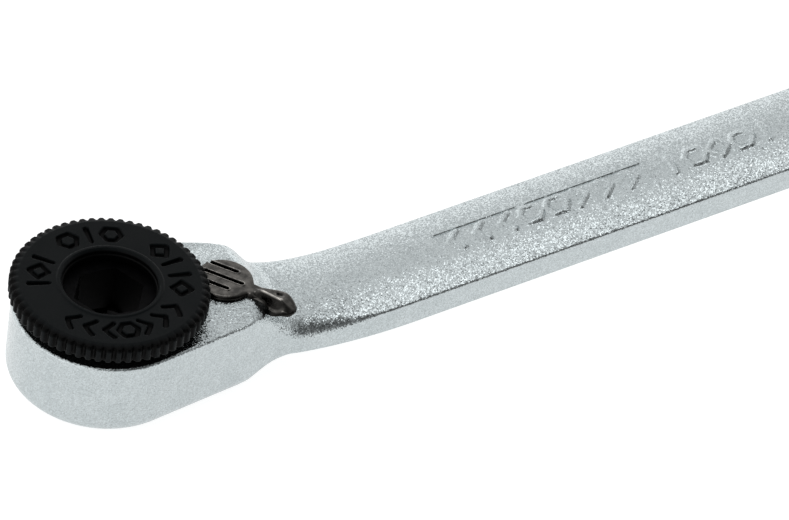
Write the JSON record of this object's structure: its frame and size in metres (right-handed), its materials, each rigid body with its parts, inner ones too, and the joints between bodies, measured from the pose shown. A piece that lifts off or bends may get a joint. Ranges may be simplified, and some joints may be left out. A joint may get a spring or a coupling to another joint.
{
  "type": "mini ratchet wrench",
  "caption": "Small reversible ratchet wrench with a hex bit socket through its head, a ridged thumb ring, a side-set reversing lever and a rising handle.",
  "frame": {"origin": "on the drive axis, in the plane of the head's underside", "axes": "+Z along the drive axis from the underside to the thumb ring, +X along the handle, +Y to the left of the handle"},
  "size_m": [0.095, 0.02, 0.0194],
  "materials": {
    "satin_chrome": "satin pearl chrome on forged steel",
    "gear_steel": "black oiled hardened steel",
    "black_ring": "matte black",
    "spring_steel": "bright spring steel",
    "washer_steel": "plain ground steel",
    "black_oxide": "black oxide",
    "lever_gunmetal": "smooth gunmetal plating"
  },
  "bodies": {
    "body": {"wrench_body": "satin_chrome", "thrust_washer": "washer_steel", "gear_circlip": "black_oxide", "lever_snap_ring": "spring_steel"},
    "drive": {"ratchet_gear": "gear_steel", "thumb_ring": "black_ring", "bit_clip": "black_oxide"},
    "lever": {"reversing_lever": "lever_gunmetal", "plunger_spring": "spring_steel"},
    "plunger": {"pawl_plunger": "washer_steel"},
    "pawl": {"pawl": "gear_steel"}
  },
  "joints": [
    {"name": "drive_spin", "type": "hinge", "parent": "body", "child": "drive", "pos_m": [0, 0, 0.004], "axis": [0, 0, 1], "continuous": true},
    {"name": "lever_turn", "type": "hinge", "parent": "body", "child": "lever", "pos_m": [0.012, 0, 0.005], "axis": [0, 0, 1], "range_deg": [0, 89]},
    {"name": "plunger_slide", "type": "slide", "parent": "lever", "child": "plunger", "axis": [0.7133, -0.7009, 0], "range_m": [0, 0.0005], "stiffness_N_per_m": 5, "deforming": ["plunger_spring"]},
    {"name": "pawl_shift", "type": "hinge", "parent": "body", "child": "pawl", "pos_m": [0, 0, 0.004], "axis": [0, 0, 1], "range_deg": [-12, 0]}
  ],
  "couplings": [
    {"joint": "pawl_shift", "follows": "lever_turn", "ratio": -0.13483}
  ]
}
